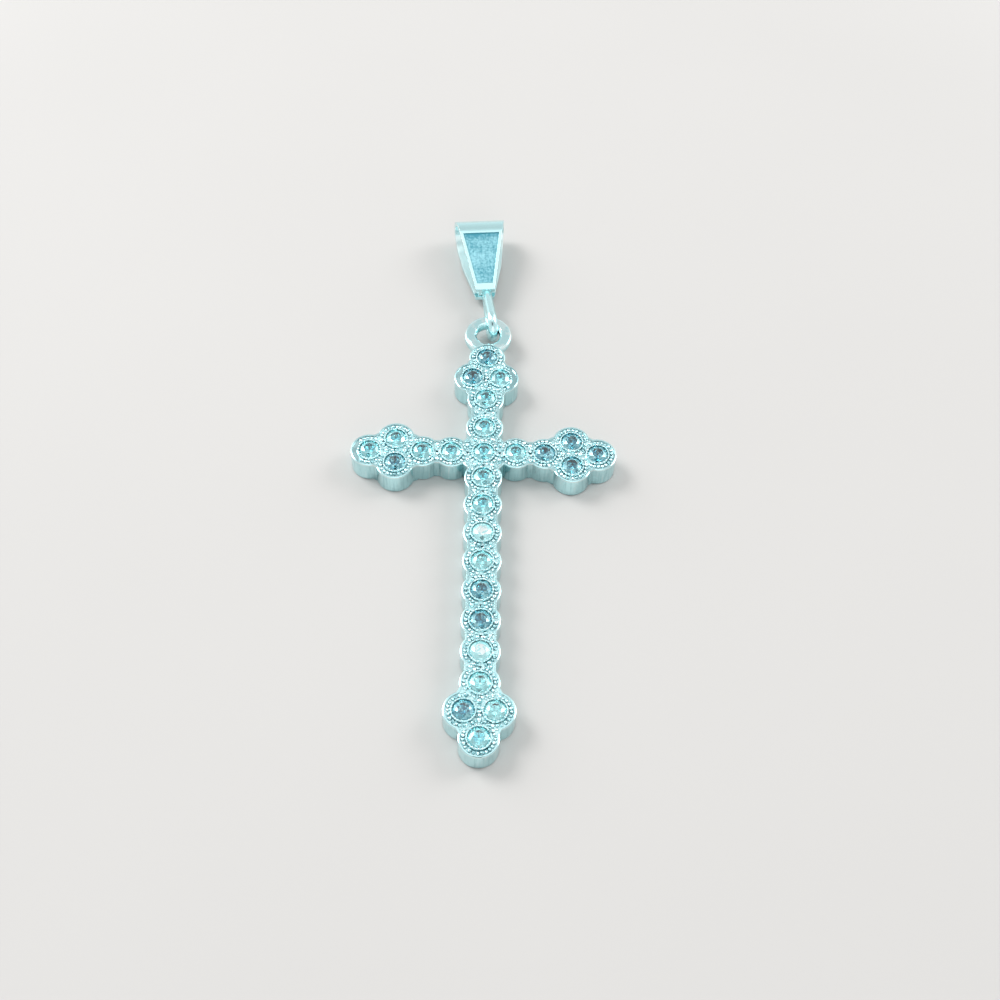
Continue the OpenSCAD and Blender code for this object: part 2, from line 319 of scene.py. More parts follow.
class BeadSettings(bpy.types.PropertyGroup):
    seam: FloatProperty(
        name="Seam bead", description="Radius of the two beads between neighbouring cups", unit="LENGTH",
        min=0, default=0.24 * MM, precision=6,
    )
    aside: FloatProperty(
        name="Aside", description="Distance of a seam bead from the limb's line", unit="LENGTH",
        min=0, default=0.85 * MM, precision=6,
    )
    trefoil: FloatProperty(
        name="Trefoil bead", description="Radius of the beads inside a trefoil", unit="LENGTH",
        min=0, default=0.28 * MM, precision=6,
    )
    bar: FloatProperty(
        name="Bar", description="Half the width of the two bars between a trefoil's side cups",
        unit="LENGTH", min=0, default=0.13 * MM, precision=6,
    )


class BailSettings(bpy.types.PropertyGroup):
    satin: FloatVectorProperty(
        name="Satin", description="Colour of the sunk front panel", subtype="COLOR", size=3,
        min=0, max=1, default=(0.36, 0.7, 0.78),
    )
    satin_shade: FloatVectorProperty(
        name="Satin shade", description="Colour of the panel's darker mottling", subtype="COLOR", size=3,
        min=0, max=1, default=(0.08, 0.32, 0.41),
    )
    satin_polish: FloatProperty(
        name="Satin polish", description="Roughness of the front panel", min=0, max=1, default=0.38,
    )
    tips: FloatVectorProperty(
        name="Tips", description="Where the two legs meet, at the middle of their height",
        subtype="TRANSLATION", size=3, default=(-0.118 * MM, 21.398 * MM, 1.725 * MM), precision=6,
    )
    half: FloatProperty(
        name="Half height", description="Height of the front leg's foot above the tips' middle",
        unit="LENGTH", min=0, default=0.875 * MM, precision=6,
    )
    turn: FloatProperty(
        name="Turn", description="Turn of the bail to the left", subtype="ANGLE", default=math.radians(4.8),
    )
    pitch: FloatProperty(
        name="Pitch", description="Rise of the whole bail towards its bend", subtype="ANGLE",
        default=math.radians(2.679),
    )
    slope: FloatProperty(
        name="Slope", description="Rise of the front leg over that", subtype="ANGLE",
        default=math.radians(9.411),
    )


class StoneSettings(bpy.types.PropertyGroup):
    deep: FloatVectorProperty(
        name="Deep", description="Tint of the stones that look dark blue", subtype="COLOR", size=3,
        min=0, max=1, default=(0.03, 0.22, 0.32),
    )
    middle: FloatVectorProperty(
        name="Middle", description="Tint of the stones between dark and pale, and of the dark ones' crowns",
        subtype="COLOR", size=3, min=0, max=1, default=(0.26, 0.76, 0.88),
    )
    pale: FloatVectorProperty(
        name="Pale", description="Tint of the pale stones, and of the crowns of all but the dark ones",
        subtype="COLOR", size=3, min=0, max=1, default=(0.56, 0.97, 1),
    )
    # Painted highlight: the milky white, with the lower clearness below, stands in for a lamp's reflection
    # in these stones.
    bright: FloatVectorProperty(
        name="Bright", description="Colour of the milky stones", subtype="COLOR", size=3,
        min=0, max=1, default=(0.97, 1, 1),
    )
    clearness: FloatProperty(
        name="Clearness", description="How clear a milky stone is", min=0, max=1, default=0.45,
    )
    bending: FloatProperty(
        name="Refraction", description="How strongly a stone bends light", min=1, max=3, default=2.15,
    )


class StageSettings(bpy.types.PropertyGroup):
    floor: FloatVectorProperty(
        name="Floor", description="Colour of the floor", subtype="COLOR", size=3, min=0, max=1,
        default=(0.56, 0.553, 0.542),
    )
    # Painted light: the floor is painted lighter away from the pendant, where the lamps light it less.
    far_floor: FloatVectorProperty(
        name="Far floor", description="Colour of the floor away from the pendant", subtype="COLOR", size=3,
        min=0, max=1, default=(0.9, 0.89, 0.88),
    )
    reach: FloatProperty(
        name="Reach", description="Radius of the floor", unit="LENGTH", min=0.1, default=0.6,
    )
    lens: FloatProperty(
        name="Lens", description="Focal length of the camera on a 36 mm sensor", subtype="DISTANCE_CAMERA",
        min=10, default=49.133,
    )
    eye: FloatVectorProperty(
        name="Camera", description="Place of the camera", subtype="TRANSLATION", size=3,
        default=(-0.867 * MM, -74.457 * MM, 113.215 * MM), precision=6,
    )
    aim: FloatVectorProperty(
        name="Camera turn", description="Turn of the camera", subtype="EULER", size=3,
        default=tuple(math.radians(a) for a in (32.1158, -1.5786, 0.4467)),
    )


class RoomSettings(bpy.types.PropertyGroup):
    round: FloatProperty(
        name="Round", description="Brightness of the room at the floor's height", min=0, default=0.9,
    )
    above: FloatProperty(
        name="Above", description="Brightness of the room overhead", min=0, default=0.7,
    )
    glow: FloatProperty(
        name="Windows", description="How much brighter the windows and the lamp overhead are", min=0,
        default=1.6,
    )
    window: FloatProperty(
        name="Window", description="Half the width of a window, as an angle", subtype="ANGLE",
        default=math.radians(12),
    )
    blur: FloatProperty(
        name="Window blur", description="Width of a window's soft edge", subtype="ANGLE",
        default=math.radians(16),
    )
    left: FloatVectorProperty(
        name="Left", description="Direction of the left window", subtype="DIRECTION", size=3,
        default=(-0.78, 0.5, 0.38),
    )
    right: FloatVectorProperty(
        name="Right", description="Direction of the right window", subtype="DIRECTION", size=3,
        default=(0.8, 0.45, 0.4),
    )
    front: FloatVectorProperty(
        name="Front", description="Direction of the window behind the onlooker", subtype="DIRECTION", size=3,
        default=(0.1, -0.9, 0.4),
    )
    overhead: FloatVectorProperty(
        name="Overhead", description="Direction of the lamp overhead", subtype="DIRECTION", size=3,
        default=(0, 0.06, 1),
    )
    looker: FloatVectorProperty(
        name="Onlooker", description="Direction of the onlooker's dark shape", subtype="DIRECTION", size=3,
        default=(0, -0.53, 0.85),
    )
    looker_reach: FloatProperty(
        name="Onlooker's reach", description="Half the width of that shape, as an angle", subtype="ANGLE",
        default=math.radians(9),
    )
    looker_blur: FloatProperty(
        name="Onlooker's blur", description="Width of that shape's soft edge", subtype="ANGLE",
        default=math.radians(11),
    )
    dim: FloatProperty(
        name="Onlooker's shade", description="Share of the light that it takes away", min=0, max=1,
        default=0.92,
    )


# Where each mask is 0 and where it is 1. First how far a face looks up, 1 being straight up.
LOOKS_UP = (0.55, 0.9)
IS_WALL = (0.5, 0.2)
SEAT_FROM = (0.6, 0.7)
SEAT_TO = (0.9, 0.8)
# Heights above the back, in millimetres.
RIM_FROM = (2.43, 2.46)
RIM_TO = (2.54, 2.51)
ABOVE_LOOP = (2.27, 2.33)
IN_CUP = (2.42, 2.36)
NEAR_LIP = (2.28, 2.34)
# Noises: the painted dark specks and bright flecks of the ground, the painted shade and highlights along the
# lines drawn down the walls, and broad clouds of painted shade on the bare sides and of painted highlight on
# the loop.
DARK_SPECK = (0.5, 0.36)
BRIGHT_FLECK = (0.55, 0.68)
DULL_LINE = (0.5, 0.34)
BRIGHT_LINE = (0.56, 0.75)
DULL_CLOUD = (0.35, 0.6)
BRIGHT_CLOUD = (0.45, 0.6)

# How strongly the painted shade and painted highlights of the cast silver show, from 0 to 1.
SPECK_SHADE = 0.55
LINE_SHADE = 0.25
SIDE_SHADE = 0.4
LINE_GLEAM = 0.7
CUP_GLEAM = 0.7
LOOP_GLEAM = 0.5


def bare_sides(recipe, place):
    """1 on the smooth outer sides of the lobes that have no grains there."""
    flat = recipe.stretched(place, (1, 1, 0))
    sides = []
    for stone, outward in BARE_SIDES.items():
        way = recipe.from_start(flat, (cup(stone) / MM).to_3d())
        side = recipe.rise(recipe.along(way, outward.to_3d()), BARE_FROM - 0.1, BARE_FROM + 0.2)
        sides.append(side * recipe.rise(recipe.length(way), BARE_REACH, BARE_REACH - 0.15))
    return sum(sides)


def cast_silver(settings):
    """Cast silver: polished on rims and walls, grainy between the cups. Painted shade in its hollows, on the
    bare sides and in dark specks; painted highlights in bright flecks, in the cups and on the loop; both
    along the drawn lines.
    """

    def varying(recipe):
        place = recipe.place_mm()
        height = recipe.upward(place)
        facing = recipe.upward(recipe.normal())
        front = recipe.rise(facing, *LOOKS_UP)
        wall = recipe.rise(abs(facing), *IS_WALL)
        rim = recipe.rise(height, *RIM_FROM) * recipe.rise(height, *RIM_TO)
        above_loop = recipe.rise(height, *ABOVE_LOOP)
        bare = bare_sides(recipe, place)
        grainy = front * (1 - rim) * above_loop * (1 - bare)
        seat = recipe.rise(facing, *SEAT_FROM) * recipe.rise(facing, *SEAT_TO)
        seat = seat * recipe.rise(height, *IN_CUP)
        speck = recipe.noise(place, scale=5.5, detail=3.0, roughness=0.6)
        fleck = recipe.noise(recipe.stretched(place, (1.0, 1.0, 0.3)), scale=9.0)
        cloud = recipe.noise(place, scale=0.9)
        long_grain = recipe.stretched(place, (5.0, 5.0, 0.3))
        draw_lines = recipe.noise(long_grain, scale=1.0, detail=3.0, roughness=0.6)
        # Painted shade: ambient occlusion darkens the colour in hollows and seams, broken up by the speck
        # noise.
        open_metal = recipe.hollows(settings.hollow)
        unshaded = recipe.rise(open_metal + (speck - 0.5) * 0.35, 0.25, 0.75)
        # Painted light: the cups' seats and inner walls take none of the painted shade, and below get a
        # painted highlight.
        cup_wall = wall * recipe.rise(height, *NEAR_LIP)
        unshaded = recipe.between(seat + cup_wall, unshaded, 1.0)
        # Painted shade: dark specks on the grainy ground, where the grains would darken each other.
        painted_speck_shade = grainy * recipe.rise(speck, *DARK_SPECK) * SPECK_SHADE
        colour = recipe.blend(unshaded * (1 - painted_speck_shade), settings.shade, settings.silver)
        # Painted shade and painted highlights along the lines drawn down the walls.
        painted_line_shade = wall * recipe.rise(draw_lines, *DULL_LINE) * LINE_SHADE
        # Painted shade: broad darker clouds on the smooth bare sides of the lobes.
        painted_side_shade = bare * front * recipe.rise(cloud, *DULL_CLOUD) * SIDE_SHADE
        colour = recipe.blend(painted_line_shade + painted_side_shade, colour, settings.shade)
        painted_line_gleam = wall * recipe.rise(draw_lines, *BRIGHT_LINE) * LINE_GLEAM
        # Painted glints: bright flecks on the grainy ground, joined by the drawn lines' painted highlights.
        painted_fleck_glint = grainy * recipe.rise(fleck, *BRIGHT_FLECK) + painted_line_gleam
        # Painted highlight: soft bright patches on the loop.
        loop = front * (1 - above_loop) * recipe.rise(cloud, *BRIGHT_CLOUD) * LOOP_GLEAM
        # All the painted highlights, blended towards the bright colour.
        bright = painted_fleck_glint * unshaded + (seat + cup_wall) * CUP_GLEAM + loop
        colour = recipe.blend(bright, colour, settings.bright)
        relief = speck * (0.1 + grainy * 0.9) + draw_lines * wall * 0.4
        rough = recipe.between(grainy, settings.polish, settings.cast)
        return {
            "Base Color": colour,
            "Roughness": rough + (speck - 0.5) * 0.12 + (cloud - 0.5) * 0.1,
            "Normal": recipe.worn_normal(settings.edge, relief, 1.0, settings.relief),
        }

    return new_finish("cast_silver", {"Metallic": 1.0}, varying)


# On the grains: a broad noise that paints some darker as shade and others brighter as glints, and how far it
# darkens.
DULL_GRAIN = (0.47, 0.36)
BRIGHT_GRAIN = (0.5, 0.64)
GRAIN_SHADE = 0.6


def grain_silver(settings):
    """Silver of the grains and beads: painted shade at the foot, and patches of grains painted darker or
    brighter as shade and glints.
    """

    def varying(recipe):
        place = recipe.place_mm()
        speck = recipe.noise(place, scale=6.0)
        patch = recipe.noise(place, scale=2.6)
        # Painted shade: ambient occlusion darkens each grain at its foot and in the seams.
        open_metal = recipe.hollows(settings.hollow)
        unshaded = recipe.rise(open_metal + (speck - 0.5) * 0.3, 0.2, 0.7)
        # Painted shade and painted glints: the broad patch noise makes some grains darker and others
        # brighter.
        unshaded = unshaded * (1 - recipe.rise(patch, *DULL_GRAIN) * GRAIN_SHADE)
        colour = recipe.blend(unshaded, settings.shade, settings.silver)
        bright = unshaded * recipe.rise(patch, *BRIGHT_GRAIN)
        return {
            "Base Color": recipe.blend(bright, colour, settings.bright),
            "Roughness": 0.14 + speck * 0.14,
        }

    return new_finish("grain_silver", {"Metallic": 1.0}, varying)


# On the bail: depth under the front leg's face and way up that leg, in millimetres, and facing out of it.
PANEL_DEEP = (-0.08, -0.12)
PANEL_NOT_DEEPER = (-0.22, -0.18)
PANEL_FLAT = (0.9, 0.97)
PANEL_FOOT = (0.6, 0.7)
PANEL_HEAD = (7.03, 6.95)
UNDER_BAND = (5.8, 6.9)
BACK_LEG_DEEP = (-0.9, -1.1)
BACK_LEG_FLAT = (0.4, 0.7)
BACK_LEG_FOOT = (0.2, 0.5)


def bail_silver(silver, bail, leg):
    """Silver of the bail: polished strip and wire, and a satin panel sunk into the front leg. Hollows, the
    panel's edges and the panel just under the band get painted shade; the inside of the back leg gets
    painted light.
    """
    foot, slope, normal = leg

    def varying(recipe):
        place = recipe.place_mm()
        from_foot = recipe.from_start(place, foot / MM)
        depth = recipe.along(from_foot, normal)
        up_leg = recipe.along(from_foot, slope)
        facing = recipe.along(recipe.normal(), normal)
        panel = recipe.rise(depth, *PANEL_DEEP) * recipe.rise(depth, *PANEL_NOT_DEEPER)
        panel = panel * recipe.rise(facing, *PANEL_FLAT)
        panel = panel * recipe.rise(up_leg, *PANEL_FOOT) * recipe.rise(up_leg, *PANEL_HEAD)
        mottle = recipe.noise(place, scale=4.0, detail=4.0, roughness=0.7)
        across = recipe.stretched(place, (8.0, 1.0, 1.0))
        scratches = recipe.noise(across, scale=1.0, detail=3.0, roughness=0.6)
        cloud = recipe.noise(place, scale=0.8)
        # Painted shade: the panel is darker towards its head, just under the band.
        under_band = recipe.rise(up_leg, *UNDER_BAND)
        broad = recipe.noise(place, scale=0.45, detail=1.0)
        lightness = mottle * 0.7 + scratches * 0.2 + broad * 0.3 - under_band * 0.14
        # Painted shade: ambient occlusion darkens the satin near its edges and the polished metal in its
        # hollows.
        open_metal = recipe.hollows(silver.hollow * 0.7)
        lightness = recipe.rise(lightness + open_metal * 0.3, 0.7, 1.04)
        satin = recipe.blend(lightness, bail.satin_shade, bail.satin)
        polished = recipe.blend(recipe.rise(open_metal, 0.0, 0.6), silver.shade, silver.silver)
        # Painted light: the inside of the back leg, in the gap under the front leg, is painted towards the
        # bright colour, and made rougher.
        inner = recipe.rise(depth, *BACK_LEG_DEEP) * recipe.rise(facing, *BACK_LEG_FLAT)
        inner = inner * recipe.rise(up_leg, *BACK_LEG_FOOT)
        rough = recipe.between(panel, silver.polish + 0.04, bail.satin_polish) + inner * 0.3
        relief = mottle * (0.12 + panel * 0.6) + scratches * panel * 0.4
        return {
            "Base Color": recipe.blend(panel, recipe.blend(inner, polished, silver.bright), satin),
            "Roughness": rough + (mottle - 0.5) * 0.12 + (cloud - 0.5) * 0.12,
            "Normal": recipe.worn_normal(silver.edge * 1.4, relief, 1.0, silver.relief),
        }

    return new_finish("bail_silver", {"Metallic": 1.0}, varying)


# The crown of a stone, by how far a face looks up, and how much like a mirror it is.
CROWN_FROM = (0.1, 0.3)
CROWN_TO = (0.985, 0.97)
CROWN_MIRROR = 0.35
DEEP_CROWN_MIRROR = 0.2
GLINT_MIRROR = 0.3


def clear_stone(settings, look):
    """A round brilliant seen through its table in the tint of its look, with a crown painted lighter,
    painted glint flecks, and the haze of use.
    """
    dark = look == "deep"
    crown_mirror = DEEP_CROWN_MIRROR if dark else CROWN_MIRROR

    def varying(recipe):
        place = recipe.place_mm()
        facing = recipe.upward(recipe.normal())
        crown = recipe.rise(facing, *CROWN_FROM) * recipe.rise(facing, *CROWN_TO)
        haze = recipe.noise(place, scale=4.0)
        # Painted glints: flecks that are paler and partly mirror-like.
        glint = recipe.noise(recipe.stretched(place, (1.0, 1.0, 0.2)), scale=3.2, roughness=0.6)
        glint = recipe.rise(glint, 0.5, 0.6)
        # Painted light and shade: the table takes the look's own tint, darker on the deep stones, and the
        # crown a tint at least as light.
        table = getattr(settings, look)
        tint = recipe.blend(crown, table, settings.middle if dark else settings.pale)
        return {
            "Base Color": recipe.blend(glint, tint, settings.pale),
            "Roughness": 0.01 + recipe.rise(haze, 0.5, 0.9) * 0.05 + crown * 0.08,
            "Metallic": crown * crown_mirror + glint * GLINT_MIRROR,
        }

    clearness = settings.clearness if look == "bright" else 1.0
    steady = {"Transmission Weight": clearness, "IOR": settings.bending}
    return new_finish(f"{look}_stone", steady, varying)


# Where the beads of a trefoil stand, in millimetres from a cup's middle or from the side cups' middle.
HEART_ALONG = 1.75
OUTER_HEART_ALONG = 0.85
CORNER_ALONG = 1.15
CORNER_ASIDE = 1.2
BAR_ALONG = (-0.3, -0.1, 0.1, 0.3)
BAR_ASIDE = 0.15
# The outer ones and those in the corners have this share of the others' size.
OUTER_SIZE = 0.9

# How the studs differ: their places in millimetres, angles in radians, sizes and shapes as shares.
STUD_STRETCH = 0.12
STUD_DENT = 0.05
RING_STRAY = 0.03
RING_SWAY = 0.045
LIP_STRAY = 0.015
LIP_SWAY = 0.06
HOLD_SIZES = (0.8, 1.2)
FINE_SIZES = (0.75, 1.25)

# How close two studs come, as a share of their radii, and how much of one needs level ground below it.
RING_CROWD = 0.82
FINE_CROWD = 0.85
FOOTING = 0.6
RING_FOOTING = 0.5

# Fine grains: how far from a cup's middle they are strewn and others are looked for, in millimetres,
# their distance from its lip, and the share of the radius by which one stands out.
STREWN_REACH = 2.5
LOOK_REACH = 3.2
LIP_ROOM = 0.15
FINE_STAND = 0.2


class Ground:
    """The front of the cross, asked where it is level ground that a grain or bead can stand on."""

    level_enough = 0.02 * MM
    asked_round = 8

    def __init__(self, node):
        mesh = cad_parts[node].data
        points = [v.co for v in mesh.vertices]
        self.tree = BVHTree.FromPolygons(points, [tuple(p.vertices) for p in mesh.polygons])
        self.above = max(p.z for p in points) + MM

    def height(self, x, y):
        found = self.tree.ray_cast(Vector((x, y, self.above)), Vector((0, 0, -1)))[0]
        return None if found is None else found.z

    def carries(self, x, y, radius, level):
        """True if the ground stays at that level under a stud of that radius."""
        angles = turns(self.asked_round)
        round_it = [(0, 0)] + [(radius * math.cos(a), radius * math.sin(a)) for a in angles]
        heights = [self.height(x + dx, y + dy) for dx, dy in round_it]
        return all(h is not None and abs(h - level) < self.level_enough for h in heights)


def turns(count, start=0.0):
    """Angles spaced evenly round a circle."""
    return [start + 2 * math.pi * i / count for i in range(count)]


def stud_ball(fineness):
    """Corners and faces of a ball of radius 1."""
    shape = bmesh.new()
    bmesh.ops.create_icosphere(shape, subdivisions=fineness, radius=1)
    points = [v.co.copy() for v in shape.verts]
    faces = [[v.index for v in f.verts] for f in shape.faces]
    shape.free()
    return points, faces


def studs_piece(name, studs, draw, fineness=2):
    """One piece of many small studs. Each stud is its middle and its radius, and none is quite round."""
    ball, ball_faces = stud_ball(fineness)
    points = []
    faces = []
    for middle, radius in studs:
        first = len(points)
        stretch = Vector([1 + draw.uniform(-STUD_STRETCH, STUD_STRETCH) for _ in range(3)])
        turn = draw.uniform(0, 2 * math.pi)
        c, s = math.cos(turn), math.sin(turn)
        for p in ball:
            q = p * stretch * (radius * (1 + draw.uniform(-STUD_DENT, STUD_DENT)))
            points.append(middle + Vector((c * q.x - s * q.y, s * q.x + c * q.y, q.z)))
        faces += [[first + i for i in face] for face in ball_faces]
    mesh = bpy.data.meshes.new(name)
    mesh.from_pydata(points, [], faces)
    mesh.shade_smooth()
    piece = bpy.data.objects.new(name, mesh)
    bpy.context.scene.collection.objects.link(piece)
    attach(piece, "root")
    return piece


def bead_places(settings):
    """Where the beads go, seen from the front, each with its radius: seams first, then the trefoils."""
    middle = cup("stone_crossing")
    places = []
    for limb in LIMBS:
        cups = [cup(n) for n in PLAIN_CUPS[limb]]
        along = (cups[-1] - cups[0]).normalized()
        side = Vector((-along.y, along.x))
        for first, second in zip([middle] + cups, cups):
            seam = (first + second) / 2
            places += [(seam + side * settings.aside * s, settings.seam) for s in (-1, 1)]
        pair = (cup(f"stone_{limb}_pair_a") + cup(f"stone_{limb}_pair_b")) / 2
        tip = cup(f"stone_{limb}_tip")
        places.append((cups[-1] + along * HEART_ALONG * MM, settings.trefoil))
        places.append((pair + along * OUTER_HEART_ALONG * MM, settings.trefoil * OUTER_SIZE))
        for s in (-1, 1):
            for step in BAR_ALONG:
                places.append((pair + along * step * MM + side * s * BAR_ASIDE * MM, settings.bar))
            corner = side * s * CORNER_ASIDE * MM
            places.append((cups[-1] + along * CORNER_ALONG * MM + corner, settings.seam * OUTER_SIZE))
            places.append((tip - along * CORNER_ALONG * MM + corner, settings.seam * OUTER_SIZE))
    return places


def standing_beads(bead, ground, level):
    """The beads that have level ground to stand on."""
    beads = []
    for place, radius in bead_places(bead):
        if ground.carries(place.x, place.y, radius * FOOTING, level):
            beads.append((Vector((place.x, place.y, level)), radius))
    return beads


def ring_grains(grain, ground, beads, draw):
    """A ring of grains round each cup, where no bead or other grain stands in the way."""
    grains = []
    for stone in STONES:
        middle = cup(stone)
        for angle in turns(grain.count, draw.uniform(0, 1)):
            angle += draw.uniform(-RING_SWAY, RING_SWAY)
            radius = grain.size * (1 + draw.uniform(-grain.uneven, grain.uneven))
            ring = grain.ring + draw.uniform(-RING_STRAY, RING_STRAY) * MM
            x = middle.x + ring * math.cos(angle)
            y = middle.y + ring * math.sin(angle)
            spot = Vector((x, y, grain.level + grain.stand * radius))
            near = any((spot - m).xy.length < RING_CROWD * (radius + r) for m, r in beads + grains)
            footing = radius * RING_FOOTING
            if not near and not lies_bare(spot.xy) and ground.carries(x, y, footing, grain.level):
                grains.append((spot, radius))
    return grains


def strewn_grains(grain, ground, others, draw):
    """The finest grains, wherever the ground between rings and beads has room for one."""
    taken = [(middle.xy, radius) for middle, radius in others]
    strewn = []
    for stone in STONES:
        middle = cup(stone)
        near = [t for t in taken if (t[0] - middle).length < LOOK_REACH * MM]
        for _ in range(grain.strewn):
            reach = draw.uniform(grain.lip + LIP_ROOM * MM, STREWN_REACH * MM)
            angle = draw.uniform(0, 2 * math.pi)
            spot = middle + Vector((reach * math.cos(angle), reach * math.sin(angle)))
            radius = grain.fine * draw.uniform(*FINE_SIZES)
            free = all((spot - m).length > FINE_CROWD * (radius + r) for m, r in near)
            footing = radius * FOOTING
            if free and not lies_bare(spot) and ground.carries(spot.x, spot.y, footing, grain.level):
                near.append((spot, radius))
                taken.append((spot, radius))
                strewn.append((Vector((spot.x, spot.y, grain.level + FINE_STAND * radius)), radius))
    return strewn


def holding_grains(grain, draw):
    """A ring of tiny grains on the lip of each cup, over the edge of its stone."""
    holds = []
    for stone in STONES:
        middle = cup(stone)
        for angle in turns(grain.holds, draw.uniform(0, 1)):
            angle += draw.uniform(-LIP_SWAY, LIP_SWAY)
            radius = grain.hold * draw.uniform(*HOLD_SIZES)
            ring = grain.lip + draw.uniform(-LIP_STRAY, LIP_STRAY) * MM
            x = middle.x + ring * math.cos(angle)
            y = middle.y + ring * math.sin(angle)
            holds.append((Vector((x, y, grain.lip_level)), radius))
    return holds


class PENDANT_OT_silver_cross(bpy.types.Operator):
    """Gives the cast cross its silver"""

    bl_idname = "pendant.silver_cross"
    bl_label = "Silver the Cross"

    def execute(self, context):
        finish_piece(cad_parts["cross"], cast_silver(context.scene.pendant_silver))
        return {"FINISHED"}


class PENDANT_OT_raise_grains(bpy.types.Operator):
    """Raises the beads, the rings of grains, the fine grains between them, and those that hold the stones"""

    bl_idname = "pendant.raise_grains"
    bl_label = "Raise Grains and Beads"

    def execute(self, context):
        grain = context.scene.pendant_grain
        draw = random.Random(SEED)
        ground = Ground("cross")
        beads = standing_beads(context.scene.pendant_bead, ground, grain.level)
        grains = ring_grains(grain, ground, beads, draw)
        silver = grain_silver(context.scene.pendant_silver)
        finish_piece(studs_piece("grains", grains, draw), silver)
        finish_piece(studs_piece("beads", beads, draw), silver)
        fine = strewn_grains(grain, ground, grains + beads, draw)
        finish_piece(studs_piece("fine_grains", fine, draw, fineness=1), silver)
        holds = holding_grains(grain, draw)
        finish_piece(studs_piece("holding_grains", holds, draw, fineness=1), silver)
        return {"FINISHED"}


def front_leg(bail):
    """Foot, direction and outward normal of the bail's front leg."""
    out = Vector((-math.sin(bail.turn), math.cos(bail.turn), 0))
    up = Vector((0, 0, 1))
    rise = bail.pitch + bail.slope
    foot = Vector(bail.tips) + (up * math.cos(bail.pitch) - out * math.sin(bail.pitch)) * bail.half
    return foot, out * math.cos(rise) + up * math.sin(rise), up * math.cos(rise) - out * math.sin(rise)


class PENDANT_OT_finish_bail(bpy.types.Operator):
    """Gives the bail and its link their silver, with the satin panel"""

    bl_idname = "pendant.finish_bail"
    bl_label = "Finish the Bail"

    def execute(self, context):
        scene = context.scene
        silver = bail_silver(scene.pendant_silver, scene.pendant_bail, front_leg(scene.pendant_bail))
        finish_piece(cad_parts["bail"], silver)
        return {"FINISHED"}


def stone_look(stone):
    for look, names in STONE_LOOKS.items():
        if stone.removeprefix("stone_") in names:
            return look
    return "middle"


class PENDANT_OT_set_stones(bpy.types.Operator):
    """Gives the round stones their clear finish"""

    bl_idname = "pendant.set_stones"
    bl_label = "Set the Stones"

    def execute(self, context):
        finishes = {look: clear_stone(context.scene.pendant_stone, look) for look in STONE_LOOKS}
        for stone in STONES:
            finish_piece(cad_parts[stone], finishes[stone_look(stone)])
        return {"FINISHED"}


# Lamps: place and size in metres, power in watts. Windows: how bright each is beside the left one.
LAMPS = {
    "key": {"place": (-0.28, 0.16, 0.36), "size": (0.2, 0.2), "power": 1.2},
    "fill": {"place": (0.3, 0.12, 0.26), "size": (0.14, 0.2), "power": 0.4},
}
WINDOW_SHARES = {"left": 1, "right": 0.8, "front": 0.5, "overhead": 0.35}
# The distance over which the floor is painted lighter, where the lamps reach less, in millimetres, and the
# hair's breadth it lies below 0.
FAR_FLOOR = (70, 250)
FLOOR_GAP = 0.01 * MM


def soft_light(name, place, size, power):
    """A broad lamp that shines on the middle of the pendant."""
    lamp = bpy.data.lights.new(name, "AREA")
    lamp.shape = "RECTANGLE"
    lamp.size, lamp.size_y = size
    lamp.energy = power
    light = bpy.data.objects.new(name, lamp)
    light.location = place
    light.rotation_euler = (-Vector(place)).to_track_quat("-Z", "Y").to_euler()
    bpy.context.scene.collection.objects.link(light)


def studio_air(world, room):
    """A pale bright room with windows and an overhead lamp, and the dark shape of an onlooker."""
    world.use_nodes = True
    recipe = Recipe(world.node_tree)
    towards = recipe.node("ShaderNodeTexCoord", output="Generated")

    def patch(direction, reach, soft):
        """1 round a direction, and 0 further from it than its reach."""
        near = recipe.along(towards, Vector(direction).normalized())
        return recipe.rise(near, math.cos(reach + soft), math.cos(reach))

    overhead = recipe.rise(recipe.upward(towards), 0.0, 0.9)
    light = recipe.between(overhead, room.round, room.above)
    for window, share in WINDOW_SHARES.items():
        light = light + patch(getattr(room, window), room.window, room.blur) * room.glow * share
    light = light * (1 - patch(room.looker, room.looker_reach, room.looker_blur) * room.dim)
    air = recipe.node("ShaderNodeBackground", {}, {"Color": (1, 1, 1, 1), "Strength": light})
    recipe.node("ShaderNodeOutputWorld", {}, {"Surface": air})


def pale_floor(settings):
    """A plain pale floor, painted lighter away from the pendant, where the lamps light it less."""

    def varying(recipe):
        place = recipe.place_mm()
        cloud = recipe.noise(place, scale=0.02)
        tooth = recipe.noise(place, scale=1.5)
        darker = tuple(c * 0.96 for c in settings.floor)
        near = recipe.blend(cloud, darker, settings.floor)
        far = recipe.rise(recipe.length(place), *FAR_FLOOR)
        relief = {"Strength": 0.2, "Distance": 0.02 * MM, "Height": tooth}
        return {
            "Base Color": recipe.blend(far, near, settings.far_floor),
            "Normal": recipe.node("ShaderNodeBump", {}, relief),
        }

    return new_finish("pale_floor", {"Roughness": 0.85, "Specular IOR Level": 0.2}, varying)


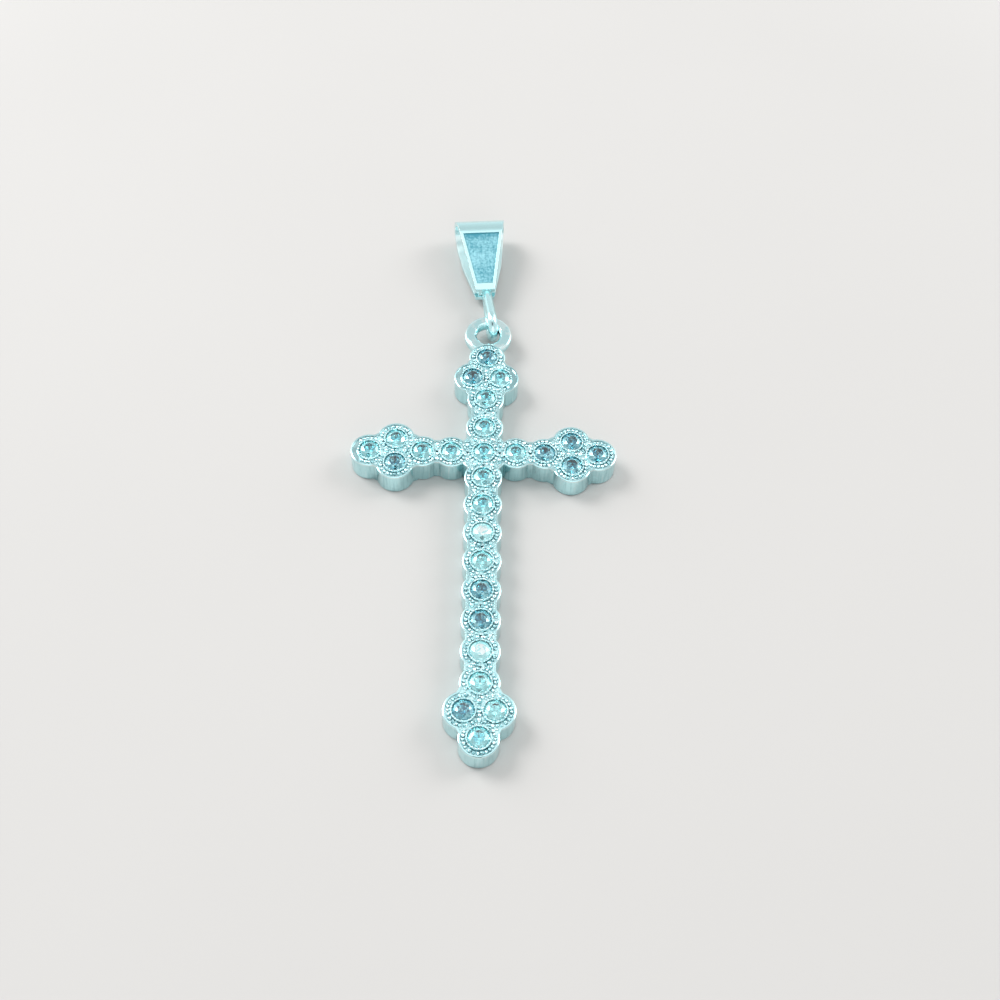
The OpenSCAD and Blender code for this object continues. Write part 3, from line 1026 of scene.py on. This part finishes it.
class PENDANT_OT_lay_out(bpy.types.Operator):
    """Lays the pendant on a pale floor under soft light, with the camera above it"""

    bl_idname = "pendant.lay_out"
    bl_label = "Lay It Out"

    def execute(self, context):
        settings = context.scene.pendant_stage
        shape = bmesh.new()
        bmesh.ops.create_circle(shape, cap_ends=True, segments=96, radius=settings.reach)
        mesh = bpy.data.meshes.new("floor")
        shape.to_mesh(mesh)
        shape.free()
        floor = bpy.data.objects.new("floor", mesh)
        floor.location.z = -FLOOR_GAP
        context.scene.collection.objects.link(floor)
        finish_piece(floor, pale_floor(settings))
        context.scene.world = context.scene.world or bpy.data.worlds.new("room")
        studio_air(context.scene.world, context.scene.pendant_room)
        for name, lamp in LAMPS.items():
            soft_light(name, **lamp)
        camera = bpy.data.cameras.new("camera")
        camera.lens = settings.lens
        camera.sensor_width = 36
        camera.clip_start = 0.005
        eye = bpy.data.objects.new("camera", camera)
        eye.location = settings.eye
        eye.rotation_euler = settings.aim
        context.scene.collection.objects.link(eye)
        context.scene.camera = eye
        context.scene.view_settings.view_transform = "Standard"
        return {"FINISHED"}


class PENDANT_PT_panel(bpy.types.Panel):
    """Sizes, colours and steps of the pendant"""

    bl_label = "Pendant"
    bl_idname = "PENDANT_PT_panel"
    bl_space_type = "VIEW_3D"
    bl_region_type = "UI"
    bl_category = "Pendant"

    def draw(self, context):
        scene = context.scene
        for settings, operators in PARTS:
            box = self.layout.box()
            for name in settings:
                group = getattr(scene, name)
                for prop in group.bl_rna.properties:
                    if prop.identifier in group.__annotations__:
                        box.prop(group, prop.identifier)
            for operator in operators:
                box.operator(operator)


PARTS = (
    (("pendant_silver",), ("pendant.silver_cross",)),
    (("pendant_grain", "pendant_bead"), ("pendant.raise_grains",)),
    (("pendant_bail",), ("pendant.finish_bail",)),
    (("pendant_stone",), ("pendant.set_stones",)),
    (("pendant_stage", "pendant_room"), ("pendant.lay_out",)),
)

SETTINGS = {
    "pendant_silver": SilverSettings,
    "pendant_grain": GrainSettings,
    "pendant_bead": BeadSettings,
    "pendant_bail": BailSettings,
    "pendant_stone": StoneSettings,
    "pendant_stage": StageSettings,
    "pendant_room": RoomSettings,
}

OPERATORS = (
    PENDANT_OT_silver_cross,
    PENDANT_OT_raise_grains,
    PENDANT_OT_finish_bail,
    PENDANT_OT_set_stones,
    PENDANT_OT_lay_out,
)


def register():
    for name, settings in SETTINGS.items():
        bpy.utils.register_class(settings)
        setattr(bpy.types.Scene, name, PointerProperty(type=settings))
    for operator in OPERATORS:
        bpy.utils.register_class(operator)
    bpy.utils.register_class(PENDANT_PT_panel)


def unregister():
    bpy.utils.unregister_class(PENDANT_PT_panel)
    for operator in reversed(OPERATORS):
        bpy.utils.unregister_class(operator)
    for name, settings in reversed(SETTINGS.items()):
        delattr(bpy.types.Scene, name)
        bpy.utils.unregister_class(settings)


def main():
    register()
    bpy.ops.pendant.silver_cross()
    bpy.ops.pendant.raise_grains()
    bpy.ops.pendant.finish_bail()
    bpy.ops.pendant.set_stones()
    bpy.ops.pendant.lay_out()


if __name__ == "__main__":
    main()
